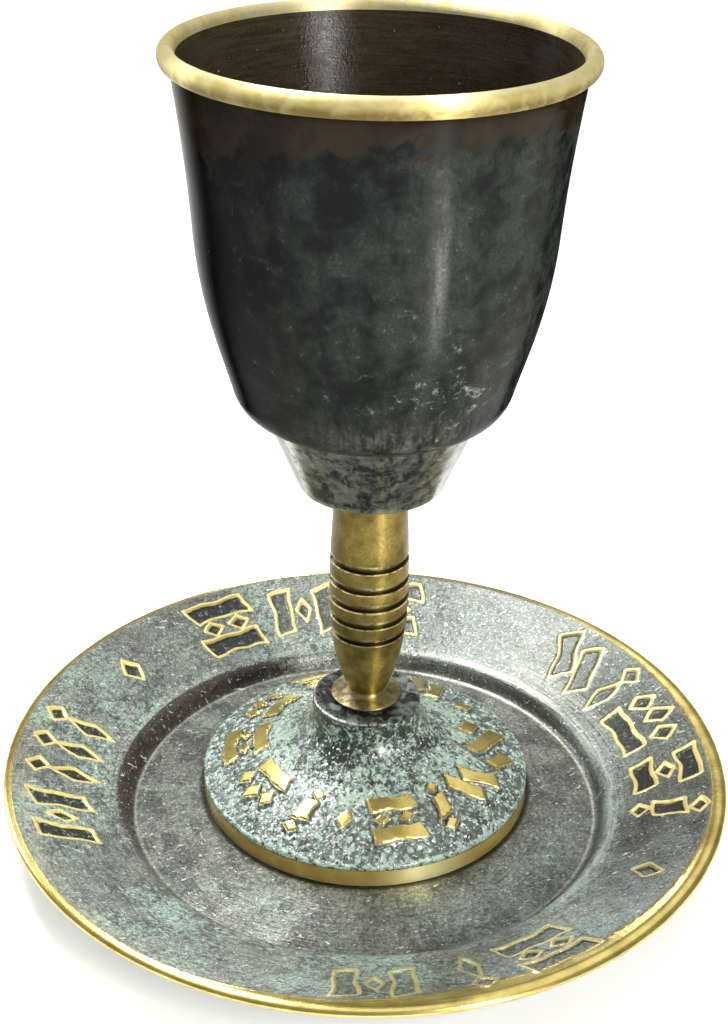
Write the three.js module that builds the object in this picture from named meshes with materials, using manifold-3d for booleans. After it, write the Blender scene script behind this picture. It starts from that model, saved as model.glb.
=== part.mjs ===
// A brass kiddush cup standing on its matching saucer: a spun bowl with a rolled rim, a turned
// baluster stem and a cast domed foot with raised strokes. Units are millimetres, +Z is up, and
// the origin is the centre of the saucer's underside.

import * as THREE from 'three';
import { mergeVertices } from 'three/addons/utils/BufferGeometryUtils.js';
import Module from 'manifold-3d';

const wasm = await Module();
wasm.setup();

// Saucer, with heights above its underside
const SAUCER_RADIUS = 63.5; // outside of the rounded edge
const SAUCER_SHEET = 1.0; // thickness of the sheet, and height of the well's floor
const WELL_RADIUS = 41.2; // flat floor, out to the crease
const COVE_RADIUS = 44.4; // top of the short steep wall round the well
const COVE_HEIGHT = 4.05;
const SAUCER_ROLL = 1.4; // half the width of the rounded edge's section
const SAUCER_ROLL_SHARE = 0.6; // that section's height over its width
const SAUCER_ROLL_HEIGHT = 10.6; // centre of that section

// Cup, standing in the well a little behind the saucer's centre
const CUP_SETBACK = 5.0;
const FOOT_RADIUS = 29.35;
const FOOT_BAND_HEIGHT = 4.1; // upright polished edge
const FOOT_HEIGHT = 19.0;
const NECK_RADIUS = 9.6; // flat top of the foot
const NECK_ROUNDING = 0.6;
const FOOT_WALL = 2.5; // at the hollow underside's edge
const FOOT_CROWN = 6.5; // solid metal under the flat top
const STEM_HEIGHT = 42.75;
const STEM_BELLY_RADIUS = 6.88;
const STEM_TOP_RADIUS = 6.05;
const STEM_WAIST_RADIUS = 3.4;
const FLANGE_RADIUS = 6.3;
const FLANGE_THICKNESS = 1.1;
const FLANGE_UNDERCUT = 0.9;
const TOP_RING_HEIGHT = 28.9; // topmost turned groove, above the stem's base
const RING_PITCHES = [0, 4.0, 3.45, 3.4, 3.55]; // distance of each groove below the one before
const GROOVE_DEPTH = 0.6;
const GROOVE_LEDGE = 0.4; // from a groove's middle down to the sharp edge of the band below it
const GROOVE_LIP = 1.1; // and up to where the band above it starts to round inward

// Bowl, with heights above its flat base
const BOWL_WALL = 1.0;
const BOWL_BASE_RADIUS = 12.4;
const CREASE_RADIUS = 17.65; // where the small lower cup meets the bowl's shoulder
const CREASE_HEIGHT = 13.65;
const BOWL_HEIGHT = 72.3;
const RIM_RADIUS = 32.6; // outside of the rolled rim
const RIM_ROLL = 1.35; // half the width of the roll's section
const RIM_ROLL_SHARE = 1.2; // that section's height over its width

// Ornamental strokes: raised on the foot, cut into the saucer's rim
const FOOT_ROW_RADIUS = 21.8;
const FOOT_STROKE_SCALE = 1.1; // of the groups' own sizes
const FOOT_STROKE_HEIGHT = 0.75;
const FOOT_STROKE_ROOT = 0.6; // how far a raised stroke is sunk into the foot
const SAUCER_ROW_RADIUS = 54.0;
const SAUCER_STROKE_SCALE = 1.55;
const SAUCER_STROKE_DEPTH = 0.35;
const BAR_FLARE = 1.2; // width of a bar's ends over that of its waist
const BAR_CUT = 0.35; // how far a bar's ends slant

const FOOT_BASE = SAUCER_SHEET;
const STEM_BASE = FOOT_BASE + FOOT_HEIGHT;
const BOWL_BASE = STEM_BASE + STEM_HEIGHT;

function metal(color, roughness, metalness) {
  return new THREE.MeshStandardMaterial({ color, roughness, metalness });
}

const darkPatina = () => metal(0x3f3f37, 0.42, 0.85);
const satinBrass = () => metal(0xa38a46, 0.3, 1.0);
const verdigris = () => metal(0x7f9b8a, 0.5, 0.6);
const greyPatina = () => metal(0x8a958b, 0.38, 0.85);

function namedMesh(name, geometry, material) {
  const mesh = new THREE.Mesh(geometry, material);
  mesh.name = name;
  return mesh;
}

// Points of an arc about a centre in the profile's (radius, height) plane, angles in degrees.
function arc(radius, height, section, from, to, steps) {
  const points = [];
  for (let i = 0; i <= steps; i += 1) {
    const angle = THREE.MathUtils.degToRad(from + ((to - from) * i) / steps);
    points.push(new THREE.Vector2(radius + section * Math.cos(angle), height + section * Math.sin(angle)));
  }
  return points;
}

function bezier(a, b, c, d, steps) {
  const curve = new THREE.CubicBezierCurve(
    new THREE.Vector2(...a),
    new THREE.Vector2(...b),
    new THREE.Vector2(...c),
    new THREE.Vector2(...d),
  );
  return curve.getPoints(steps);
}

function point(radius, height) {
  return new THREE.Vector2(radius, height);
}

// Points of a roll with an elliptical section, from one angle to another.
function ellipticRoll(radius, height, section, share, from, to, steps) {
  return arc(0, 0, section, from, to, steps).map((p) => point(radius + p.x, height + p.y * share));
}

// Turns a (radius, height) profile about +Z. It starts and ends on the axis, underside first.
function turned(profile, segments) {
  const geometry = new THREE.LatheGeometry(profile, segments);
  geometry.rotateX(Math.PI / 2);
  return geometry;
}

// Moves every point of a profile to its left by a distance, square to the line through its neighbours.
function inset(profile, distance) {
  return profile.map((here, i) => {
    const before = profile[Math.max(i - 1, 0)];
    const after = profile[Math.min(i + 1, profile.length - 1)];
    const along = after.clone().sub(before).normalize();
    return point(here.x - along.y * distance, here.y + along.x * distance);
  });
}

// A closed geometry as a solid that can be cut and joined.
function toSolid(geometry) {
  geometry.deleteAttribute('normal');
  geometry.deleteAttribute('uv');
  const merged = mergeVertices(geometry, 1e-4);
  const index = merged.index.array;
  const triangles = [];
  for (let i = 0; i < index.length; i += 3) {
    const [a, b, c] = index.slice(i, i + 3);
    if (a !== b && b !== c && c !== a) triangles.push(a, b, c);
  }
  const mesh = new wasm.Mesh({
    numProp: 3,
    vertProperties: new Float32Array(merged.attributes.position.array),
    triVerts: new Uint32Array(triangles),
  });
  return new wasm.Manifold(mesh);
}

function toGeometry(solid) {
  const mesh = solid.getMesh();
  const geometry = new THREE.BufferGeometry();
  geometry.setAttribute('position', new THREE.BufferAttribute(mesh.vertProperties, 3));
  geometry.setIndex(new THREE.BufferAttribute(mesh.triVerts, 1));
  return geometry;
}

// Height of a profile at a radius, where the profile runs inward from its widest point.
function heightAt(profile, radius) {
  for (let i = 1; i < profile.length; i += 1) {
    const outer = profile[i - 1];
    const inner = profile[i];
    if (radius <= outer.x && radius >= inner.x) {
      const share = (outer.x - radius) / (outer.x - inner.x);
      return outer.y + share * (inner.y - outer.y);
    }
  }
  return profile[profile.length - 1].y;
}

// Ornamental strokes --------------------------------------------------------------------------

// A bar in its own plane, counter-clockwise: narrowest at its middle, with flared, slanted ends.
function bar(across, out, length, width, slant) {
  const half = length / 2;
  const waist = width / 2;
  const end = waist * BAR_FLARE;
  const corners = [
    [-half - BAR_CUT, -end],
    [0, -waist],
    [half - BAR_CUT, -end],
    [half + BAR_CUT, end],
    [0, waist],
    [-half + BAR_CUT, end],
  ];
  return { across, out, slant, corners };
}

function lozenge(across, out, length, width) {
  const half = length / 2;
  const side = width / 2;
  return { across, out, slant: 90, corners: [[-half, 0], [0, -side], [half, 0], [0, side]] };
}

// The small groups of strokes that fill one place of a row, as shapes across and out from it.
const strokeGroups = {
  lozenge: [lozenge(0, 0, 3.4, 2.5)],
  spear: [lozenge(0, -1.4, 5.4, 2.2), lozenge(0, 2.6, 2.4, 2.4)],
  spark: [bar(0, 0, 3.6, 2.1, 100), lozenge(-0.6, 3.3, 2.0, 2.4), lozenge(0.6, -3.3, 2.0, 2.4)],
  gate: [bar(-2.9, 0, 6.2, 2.1, 86), bar(2.9, 0, 6.2, 2.1, 94), lozenge(0, 0, 3.2, 1.8)],
  stack: [bar(0, 2.5, 5.2, 2.0, 0), bar(0, -2.5, 5.2, 2.0, 0), lozenge(0, 0, 1.9, 2.8)],
  canopy: [
    bar(0, 2.5, 7.4, 2.1, 0),
    bar(0, -2.5, 8.2, 2.1, 0),
    lozenge(-1.9, 0, 1.9, 2.6),
    lozenge(1.9, 0, 1.9, 2.6),
  ],
  step: [bar(-1.9, -0.3, 6.2, 2.2, 62), bar(1.9, 0.3, 6.2, 2.2, 62)],
  arch: [
    bar(0, -2.4, 8.0, 2.1, 0),
    lozenge(-3.0, 1.2, 3.0, 2.4),
    lozenge(0, 1.8, 3.4, 2.4),
    lozenge(3.0, 1.2, 3.0, 2.4),
  ],
  spray: [bar(0, 0, 8.6, 2.2, 35), bar(-3.6, 2.3, 3.8, 2.0, 35), bar(3.6, -2.3, 3.8, 2.0, 35)],
};

// The rows: a group's name and its bearing in degrees about +Z, from +X.
const FOOT_ROW = [
  ['lozenge', -99], ['canopy', -76], ['spark', -52], ['step', -30], ['spray', 3], ['lozenge', 34],
  ['step', 58], ['stack', 84], ['canopy', 111], ['arch', 147], ['canopy', -180], ['arch', -146],
  ['spark', -118],
];
const SAUCER_ROW = [
  ['lozenge', -30], ['spark', -11], ['stack', 0.5], ['arch', 16], ['spear', 28.5], ['step', 40],
  ['stack', 83], ['gate', 104], ['canopy', 122], ['lozenge', 147.5],
  ['spear', 168.5], ['spear', 176], ['spear', 183.5], ['gate', 197],
  ['gate', 272], ['spear', 288.5], ['canopy', 302],
];

// A stroke's outline as points across and out from its place in the row.
function strokeOutline({ across, out, slant, corners }, scale) {
  const turn = THREE.MathUtils.degToRad(slant);
  return corners.map(([u, v]) => new THREE.Vector2(
    (across + u * Math.cos(turn) - v * Math.sin(turn)) * scale,
    (out + u * Math.sin(turn) + v * Math.cos(turn)) * scale,
  ));
}

// One stroke as a thin block that follows a turned surface, from below it to above it.
function strokeBlock(contour, bearing, rowRadius, surface, below, above) {
  const corners = contour.map((p) => {
    const radius = rowRadius + p.y;
    const angle = THREE.MathUtils.degToRad(bearing) + p.x / rowRadius;
    return [radius * Math.cos(angle), radius * Math.sin(angle), heightAt(surface, radius)];
  });
  const count = corners.length;
  const positions = [];
  corners.forEach(([x, y, z]) => positions.push(x, y, z - below));
  corners.forEach(([x, y, z]) => positions.push(x, y, z + above));
  const triangles = [];
  THREE.ShapeUtils.triangulateShape(contour, []).forEach(([a, b, c]) => {
    triangles.push(a, b, c);
    triangles.push(a + count, c + count, b + count);
  });
  for (let i = 0; i < count; i += 1) {
    const next = (i + 1) % count;
    triangles.push(i, i + count, next + count);
    triangles.push(i, next + count, next);
  }
  const mesh = new wasm.Mesh({
    numProp: 3,
    vertProperties: new Float32Array(positions),
    triVerts: new Uint32Array(triangles),
  });
  return new wasm.Manifold(mesh);
}

function strokeBlocks(row, scale, rowRadius, surface, below, above) {
  return row.flatMap(([group, bearing]) => strokeGroups[group].map((stroke) => {
    const contour = strokeOutline(stroke, scale);
    return strokeBlock(contour, bearing, rowRadius, surface, below, above);
  }));
}

// Saucer --------------------------------------------------------------------------------------

const rollInner = 115; // angle at which the rim's face runs into the rounded edge
const rollUnder = -100; // angle at which the underside does

function saucerRoll(from, to, steps) {
  const centre = SAUCER_RADIUS - SAUCER_ROLL;
  return ellipticRoll(centre, SAUCER_ROLL_HEIGHT, SAUCER_ROLL, SAUCER_ROLL_SHARE, from, to, steps);
}

function saucerFace() {
  const [edge] = saucerRoll(rollInner, rollInner, 1);
  const rim = bezier(
    [edge.x, edge.y],
    [57.0, 9.4],
    [49.0, 5.7],
    [COVE_RADIUS, COVE_HEIGHT],
    3,
  );
  return [...rim, point(WELL_RADIUS + 0.8, SAUCER_SHEET + 0.7), point(WELL_RADIUS, SAUCER_SHEET)];
}

function saucer() {
  const face = saucerFace();
  const under = [
    point(WELL_RADIUS + 0.4, 0),
    point(COVE_RADIUS + 0.5, COVE_HEIGHT - SAUCER_SHEET),
  ];
  const roll = saucerRoll(rollUnder, rollInner, 5);
  const profile = [point(0, 0), ...under, ...roll, ...face.slice(1), point(0, SAUCER_SHEET)];
  const cuts = strokeBlocks(
    SAUCER_ROW,
    SAUCER_STROKE_SCALE,
    SAUCER_ROW_RADIUS,
    face,
    SAUCER_STROKE_DEPTH,
    1,
  );
  const plate = cuts.reduce((solid, cut) => solid.subtract(cut), toSolid(turned(profile, 60)));
  return namedMesh('saucer', toGeometry(plate), greyPatina());
}

// Foot ----------------------------------------------------------------------------------------

function footDome() {
  return bezier(
    [FOOT_RADIUS - 0.4, FOOT_BAND_HEIGHT + 0.2],
    [22.0, 8.6],
    [11.6, 9.2],
    [NECK_RADIUS + 0.2, 15.0],
    7,
  );
}

function foot() {
  const dome = footDome();
  const hollow = bezier(
    [6.5, FOOT_HEIGHT - FOOT_CROWN],
    [11.0, 7.2],
    [20.0, 6.0],
    [FOOT_RADIUS - FOOT_WALL, 1.8],
    3,
  );
  const neck = arc(NECK_RADIUS - NECK_ROUNDING, FOOT_HEIGHT - NECK_ROUNDING, NECK_ROUNDING, 0, 90, 3);
  const profile = [
    point(0, FOOT_HEIGHT - FOOT_CROWN),
    ...hollow,
    point(FOOT_RADIUS - FOOT_WALL, 0),
    point(FOOT_RADIUS, 0),
    point(FOOT_RADIUS, FOOT_BAND_HEIGHT),
    ...dome,
    ...neck,
    point(0, FOOT_HEIGHT),
  ];
  const strokes = strokeBlocks(
    FOOT_ROW,
    FOOT_STROKE_SCALE,
    FOOT_ROW_RADIUS,
    dome,
    FOOT_STROKE_ROOT,
    FOOT_STROKE_HEIGHT,
  );
  const casting = strokes.reduce((solid, stroke) => solid.add(stroke), toSolid(turned(profile, 44)));
  const mesh = namedMesh('foot', toGeometry(casting), verdigris());
  mesh.position.z = FOOT_BASE;
  return mesh;
}

// Stem ----------------------------------------------------------------------------------------

const BELLY_HEIGHT = 21.0;
const WAIST_HEIGHT = 2.0;

// The baluster's outline, with heights above its base: two curves that meet at the belly.
function balusterCurves() {
  return [
    new THREE.CubicBezierCurve(
      point(STEM_WAIST_RADIUS, WAIST_HEIGHT),
      point(4.9, 5.8),
      point(6.7, 10.8),
      point(STEM_BELLY_RADIUS, BELLY_HEIGHT),
    ),
    new THREE.CubicBezierCurve(
      point(STEM_BELLY_RADIUS, BELLY_HEIGHT),
      point(STEM_BELLY_RADIUS, 29.5),
      point(6.3, 37.0),
      point(STEM_TOP_RADIUS, STEM_HEIGHT),
    ),
  ];
}

// Its radius at a height.
function balusterRadius(height) {
  const samples = balusterCurves().flatMap((curve) => curve.getPoints(24));
  const above = samples.findIndex((sample) => sample.y >= height);
  const upper = samples[above];
  const lower = samples[Math.max(above - 1, 0)];
  const share = upper.y === lower.y ? 0 : (height - lower.y) / (upper.y - lower.y);
  return lower.x + share * (upper.x - lower.x);
}

function onBaluster(height) {
  return point(balusterRadius(height), height);
}

function belowBaluster(height, depth) {
  return point(balusterRadius(height) - depth, height);
}

// Each groove has a ledge below it and a rounded lip above it.
function grooves() {
  let height = TOP_RING_HEIGHT;
  const heights = RING_PITCHES.map((pitch) => {
    height -= pitch;
    return height;
  });
  return heights.reverse().flatMap((middle) => [
    onBaluster(middle - GROOVE_LEDGE),
    belowBaluster(middle - GROOVE_LEDGE / 2, GROOVE_DEPTH),
    belowBaluster(middle + GROOVE_LEDGE, GROOVE_DEPTH * 0.7),
    onBaluster(middle + GROOVE_LIP),
  ]);
}

function stem() {
  const flange = [
    point(0, 0),
    point(FLANGE_RADIUS - FLANGE_UNDERCUT, 0),
    point(FLANGE_RADIUS, FLANGE_THICKNESS * 0.6),
    point(FLANGE_RADIUS - 0.15, FLANGE_THICKNESS),
    point(4.4, FLANGE_THICKNESS + 0.2),
  ];
  const lower = [WAIST_HEIGHT, 3.4, 5.2, 7.5, 10.5].map(onBaluster);
  const upper = [31.5, 35.5, 39.5].map(onBaluster);
  const top = [point(STEM_TOP_RADIUS, STEM_HEIGHT), point(0, STEM_HEIGHT)];
  const profile = [...flange, ...lower, ...grooves(), ...upper, ...top];
  const mesh = namedMesh('stem', turned(profile, 24), satinBrass());
  mesh.position.z = STEM_BASE;
  return mesh;
}

// Bowl ----------------------------------------------------------------------------------------

function bowlOutside() {
  const centre = RIM_RADIUS - RIM_ROLL;
  const height = BOWL_HEIGHT - RIM_ROLL * RIM_ROLL_SHARE;
  const roll = ellipticRoll(centre, height, RIM_ROLL, RIM_ROLL_SHARE, -105, 180, 5);
  const lowerCup = [...arc(BOWL_BASE_RADIUS - 1, 1, 1, -90, -20, 2), point(CREASE_RADIUS, CREASE_HEIGHT)];
  const shoulder = bezier([CREASE_RADIUS, CREASE_HEIGHT], [20.3, 14.1], [22.2, 15.7], [22.9, 19.0], 4);
  const belly = bezier([22.9, 19.0], [24.8, 25.8], [27.6, 33.0], [28.3, 45.0], 4);
  const upper = bezier([28.3, 45.0], [28.8, 53.0], [29.8, 61.5], [roll[0].x, roll[0].y], 3);
  return { wall: [...lowerCup, ...shoulder.slice(1), ...belly.slice(1), ...upper.slice(1, -1)], roll };
}

function bowl() {
  const { wall, roll } = bowlOutside();
  const inside = inset(wall, BOWL_WALL).filter((p) => p.y > BOWL_WALL + 0.5);
  const profile = [
    point(0, 0),
    ...wall,
    ...roll,
    ...inside.reverse(),
    point(BOWL_BASE_RADIUS - 2, BOWL_WALL),
    point(0, BOWL_WALL),
  ];
  const mesh = namedMesh('bowl', turned(profile, 44), darkPatina());
  mesh.position.z = BOWL_BASE;
  return mesh;
}

// Assembly ------------------------------------------------------------------------------------

const cup = new THREE.Group();
cup.position.y = CUP_SETBACK;
cup.add(foot(), stem(), bowl());

const group = new THREE.Group();
group.add(saucer(), cup);

export default group;
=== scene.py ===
"""The finish of a kiddush cup on its saucer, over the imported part.

Lengths are in millimetres until a mesh or an object is placed, when MM turns them to metres. A row's and a
zone's bearings are in degrees round a piece's own axis, 0 at +X and -90 at the front.
"""

import math
from types import SimpleNamespace

import bpy
import numpy as np
from mathutils import Matrix, Vector, noise


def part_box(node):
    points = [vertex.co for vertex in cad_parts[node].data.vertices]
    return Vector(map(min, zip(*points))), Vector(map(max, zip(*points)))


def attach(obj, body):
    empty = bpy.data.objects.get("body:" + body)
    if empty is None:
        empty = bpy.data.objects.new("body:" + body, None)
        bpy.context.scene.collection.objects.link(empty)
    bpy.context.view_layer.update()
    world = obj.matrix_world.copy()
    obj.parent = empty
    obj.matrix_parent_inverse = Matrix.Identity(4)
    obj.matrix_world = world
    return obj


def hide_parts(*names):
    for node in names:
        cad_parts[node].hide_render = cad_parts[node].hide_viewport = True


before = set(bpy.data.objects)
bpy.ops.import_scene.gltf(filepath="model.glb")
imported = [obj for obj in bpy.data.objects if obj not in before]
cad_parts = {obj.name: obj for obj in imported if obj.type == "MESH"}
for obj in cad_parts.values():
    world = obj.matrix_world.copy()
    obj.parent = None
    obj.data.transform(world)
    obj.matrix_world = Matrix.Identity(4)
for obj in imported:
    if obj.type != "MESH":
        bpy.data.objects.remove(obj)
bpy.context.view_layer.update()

MM = 0.001


def reach(node):
    """(centre y, largest radius, lowest z, highest z) of a turned CAD node."""
    low, high = (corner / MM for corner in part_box(node))
    return (low.y + high.y) / 2, (high.x - low.x) / 2, low.z, high.z


_, SAUCER_RADIUS, _, _ = reach("saucer")
CUP_Y, FOOT_RADIUS, FOOT_BASE, _ = reach("foot")
_, _, STEM_BASE, _ = reach("stem")
_, _, BOWL_BASE, BOWL_TOP = reach("bowl")

# Heights below are above each piece's own base. The foot stands on the saucer's sheet.
SHEET = FOOT_BASE
WELL_RADIUS = 41.2
COVE_MIDDLE = (42.6, 2.4)
COVE_TOP = (44.4, 4.05)
EDGE_ROLL = 1.4
EDGE_ROLL_SHARE = 0.6
EDGE_ROLL_HEIGHT = 10.6
BAND_TOP = 3.3
BAND_EDGE = 4.1
FOOT_HEIGHT = STEM_BASE - FOOT_BASE
FOOT_WALL = 2.5
HOLLOW_HEIGHT = 12.5
NECK_RADIUS = 9.6
NECK_ROUNDING = 0.6
NECK_START = (NECK_RADIUS + 0.2, 15.0)
STEM_HEIGHT = BOWL_BASE - STEM_BASE
STEM_WIDEST = (6.88, 21.0)
FLANGE_TOP = 2.0
GROOVES = (28.9, 24.9, 21.45, 18.05, 14.5)
GROOVE_DEPTH = 0.6
GROOVE_LEDGE = 0.4
GROOVE_EDGE = 0.25
GROOVE_LIP = 1.1
BOWL_HEIGHT = BOWL_TOP - BOWL_BASE
BOWL_WALL = 1.0
SHOULDER_START = (17.65, 13.65)
SHOULDER_END = (22.9, 19.0)
BELLY_END = (28.3, 45.0)
RIM_RADIUS = 32.6
RIM_ROLL = 1.35
RIM_ROLL_SHARE = 1.2
RIM_MIDDLE = BOWL_HEIGHT - RIM_ROLL * RIM_ROLL_SHARE


# ---- Outlines ----


def arc(radius, height, section, start, end, steps):
    """Points of an arc about (radius, height), from angle start to end in degrees."""
    angles = np.radians(np.linspace(start, end, steps + 1))
    return [(radius + section * math.cos(a), height + section * math.sin(a)) for a in angles]


def elliptic_roll(radius, height, section, share, start, end, steps):
    """Points of a roll whose section is an ellipse, share times as high as it is wide."""
    return [(radius + x, height + z * share) for x, z in arc(0, 0, section, start, end, steps)]


def bezier(a, b, c, d, steps):
    """Points of a curve from a to d that sets out towards b and comes in from c."""
    t = np.linspace(0, 1, steps + 1)[:, None]
    a, b, c, d = (np.array(p, float) for p in (a, b, c, d))
    curve = (1 - t) ** 3 * a + 3 * t * (1 - t) ** 2 * b + 3 * t**2 * (1 - t) * c + t**3 * d
    return [tuple(p) for p in curve]


def line(a, b, steps):
    """Points after a, up to b."""
    return [(a[0] + (b[0] - a[0]) * i / steps, a[1] + (b[1] - a[1]) * i / steps) for i in range(1, steps + 1)]


def level(height, *radii):
    """Points at one height."""
    return [(radius, height) for radius in radii]


def spaced(points, step):
    """The same outline with points about a step apart along it."""
    p = np.array(points, float)
    along = np.concatenate([[0], np.cumsum(np.hypot(*np.diff(p, axis=0).T))])
    at = np.linspace(0, along[-1], round(along[-1] / step) + 1)
    return list(zip(np.interp(at, along, p[:, 0]), np.interp(at, along, p[:, 1])))


def inset(points, distance):
    """An outline moved to its left by a distance."""
    p = np.array(points)
    along = np.gradient(p, axis=0)
    along /= np.linalg.norm(along, axis=1)[:, None]
    moved = p + np.stack([-along[:, 1], along[:, 0]], 1) * distance
    return [tuple(m) for m in moved]


# ---- Meshes ----


def in_scene(name, data):
    """A new object in the scene."""
    item = bpy.data.objects.new(name, data)
    bpy.context.scene.collection.objects.link(item)
    return item


ON_AXIS = 1e-6  # a ring of a smaller radius is a single point
SHARP_ANGLE = 40


class Turning:
    """A turned mesh, gathered as rings of vertices from its start to its end, with values on them."""

    def __init__(self, y=0.0, base=0.0, **values):
        self.y, self.base, self.usual = y, base, values
        self.places, self.rings, self.values = [], [], {}

    def add(self, outline, columns, relief=None, **values):
        """Adds a ring for each (radius, height).

        relief(bearings in radians, radius, height) gives how far the ring rises, and more values.
        """
        for radius, height in outline:
            count = 1 if radius < ON_AXIS else columns
            bearing = np.arange(count) * 2 * math.pi / count
            rise, more = relief(bearing, radius, height) if relief else (0.0, {})
            x = radius * np.cos(bearing)
            y = radius * np.sin(bearing)
            z = np.full(count, height) + rise
            self.rings.append((sum(len(p) for p in self.places), count))
            self.places.append(np.stack([x, y + self.y, z + self.base], 1))
            self.keep({**self.usual, **values, **more}, count)

    def keep(self, found, count):
        """Keeps the newest ring's values. A value that a ring isn't given is 0 there."""
        for name in sorted(set(self.values) | set(found)):
            column = self.values.setdefault(name, [])
            column += [np.zeros(n) for _, n in self.rings[len(column) : -1]]
            column.append(np.broadcast_to(found.get(name, 0.0), count))

    def faces(self):
        found = []
        for (a, n), (b, m) in zip(self.rings, self.rings[1:]):
            if n == 1:
                found += [(a, b + (k + 1) % m, b + k) for k in range(m)]
            elif m == 1:
                found += [(a + k, a + (k + 1) % n, b) for k in range(n)]
            elif n == m:
                found += [(a + k, a + (k + 1) % n, b + (k + 1) % n, b + k) for k in range(n)]
            elif m > n:
                found += self.widened(a, n, b, m, False)
            else:
                found += self.widened(b, m, a, n, True)
        return found

    @staticmethod
    def widened(a, n, b, m, flip):
        """Triangles between a ring of n vertices and one of m, a multiple of n."""
        each = m // n
        found = []
        for k in range(n):
            start, end = a + k, a + (k + 1) % n
            fine = [b + (k * each + i) % m for i in range(each + 1)]
            half = each // 2
            fans = [(start, fine[i + 1], fine[i]) for i in range(half)]
            fans.append((start, end, fine[half]))
            fans += [(end, fine[i + 1], fine[i]) for i in range(half, each)]
            found += [tuple(reversed(f)) for f in fans] if flip else fans
        return found

    def piece(self, name, material):
        mesh = bpy.data.meshes.new(name)
        mesh.from_pydata(np.concatenate(self.places) * MM, [], self.faces())
        for value, column in self.values.items():
            layer = mesh.attributes.new(value, "FLOAT", "POINT")
            layer.data.foreach_set("value", np.concatenate(column).astype(np.float32))
        mesh.shade_smooth()
        mesh.set_sharp_from_angle(angle=math.radians(SHARP_ANGLE))
        mesh.materials.append(material)
        return in_scene(name, mesh)


def smooth(value, low, high):
    """0 up to low and 1 from high, or the other way round where low is the larger."""
    t = np.clip((value - low) / (high - low), 0, 1)
    return t * t * (3 - 2 * t)


def bell(value, middle, width):
    """1 at a middle value, falling to about a third at width to either side."""
    return np.exp(-(((value - middle) / width) ** 2))


def bearing_away(bearing, middle):
    """How far bearings in radians are from a middle one, in degrees."""
    return np.abs((np.degrees(bearing) - middle + 180) % 360 - 180)


def zone(bearing, middle, half):
    """1 at a middle bearing, falling to 0 at half degrees to either side."""
    return smooth(half - bearing_away(bearing, middle), 0, half)


# ---- Ornamental strokes ----


BAR_FLARE = 1.2
BAR_CUT = 0.35
STANDING = 90
FAR = 9.0  # distance given to a place that is near no stroke


def placed(corners, across, out, slant):
    """A shape's corners, turned by slant degrees and moved to its place in a group."""
    turn = math.radians(slant)
    c, s = math.cos(turn), math.sin(turn)
    return [(across + u * c - v * s, out + u * s + v * c) for u, v in corners]


def bar(across, out, length, width, slant):
    """A bar that is narrowest at its middle, with flared, slanted ends."""
    half, waist = length / 2, width / 2
    end = waist * BAR_FLARE
    lower = [(-half - BAR_CUT, -end), (0, -waist), (half - BAR_CUT, -end)]
    upper = [(half + BAR_CUT, end), (0, waist), (-half + BAR_CUT, end)]
    return placed(lower + upper, across, out, slant)


def lozenge(across, out, length, width):
    half, side = length / 2, width / 2
    return placed([(-half, 0), (0, -side), (half, 0), (0, side)], across, out, STANDING)


STROKE_GROUPS = {
    "lozenge": [lozenge(0, 0, 3.4, 2.5)],
    "spear": [lozenge(0, -1.4, 5.4, 2.2), lozenge(0, 2.6, 2.4, 2.4)],
    "spark": [bar(0, 0, 3.6, 2.1, 100), lozenge(-0.6, 3.3, 2.0, 2.4), lozenge(0.6, -3.3, 2.0, 2.4)],
    "gate": [bar(-2.9, 0, 6.2, 2.1, 86), bar(2.9, 0, 6.2, 2.1, 94), lozenge(0, 0, 3.2, 1.8)],
    "stack": [bar(0, 2.5, 5.2, 2.0, 0), bar(0, -2.5, 5.2, 2.0, 0), lozenge(0, 0, 1.9, 2.8)],
    "canopy": [
        bar(0, 2.5, 7.4, 2.1, 0),
        bar(0, -2.5, 8.2, 2.1, 0),
        *(lozenge(across, 0, 1.9, 2.6) for across in (-1.9, 1.9)),
    ],
    "step": [bar(-1.9, -0.3, 6.2, 2.2, 62), bar(1.9, 0.3, 6.2, 2.2, 62)],
    "arch": [
        bar(0, -2.4, 8.0, 2.1, 0),
        lozenge(-3.0, 1.2, 3.0, 2.4),
        lozenge(0, 1.8, 3.4, 2.4),
        lozenge(3.0, 1.2, 3.0, 2.4),
    ],
    "spray": [bar(0, 0, 8.6, 2.2, 35), bar(-3.6, 2.3, 3.8, 2.0, 35), bar(3.6, -2.3, 3.8, 2.0, 35)],
}
# Each row lists a group, its bearing in degrees, and on the saucer how far it is rubbed away.
FOOT_ROW = [
    ("lozenge", -99), ("canopy", -76), ("spark", -52), ("step", -30), ("spray", 3), ("lozenge", 34),
    ("step", 58), ("stack", 84), ("canopy", 111), ("arch", 147), ("canopy", -180), ("arch", -146),
    ("spark", -118),
]
SAUCER_ROW = [
    ("lozenge", -30, 0.5), ("spark", -11, 0.1), ("stack", 0.5, 0.0), ("arch", 16, 0.1),
    ("spear", 28.5, 0.6), ("step", 40, 0.75), ("stack", 83, 0.4), ("gate", 104, 0.3),
    ("canopy", 122, 0.0), ("lozenge", 147.5, 0.0), ("spear", 168.5, 0.0), ("spear", 176, 0.0),
    ("spear", 183.5, 0.0), ("gate", 197, 0.0), ("gate", 272, 0.75), ("spear", 288.5, 0.8),
    ("canopy", 302, 0.4),
]
FOOT_ROW_RADIUS = 21.8
FOOT_STROKE_HEIGHT = 0.75
FOOT_STROKE_SCALE = 1.1
SAUCER_ROW_RADIUS = 54.0
SAUCER_STROKE_SCALE = 1.55
SAUCER_STROKE_DEPTH = 0.35
RIDGE_HEIGHT, RIDGE_WIDTH = 0.10, 0.35
STROKE_MARGIN = 2.0  # how far beyond a stroke its distance is worked out
WAVER = 0.16  # how far a stroke's outline wanders
WAVER_RATE = 1.0  # how fast along it, in radians per millimetre
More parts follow.
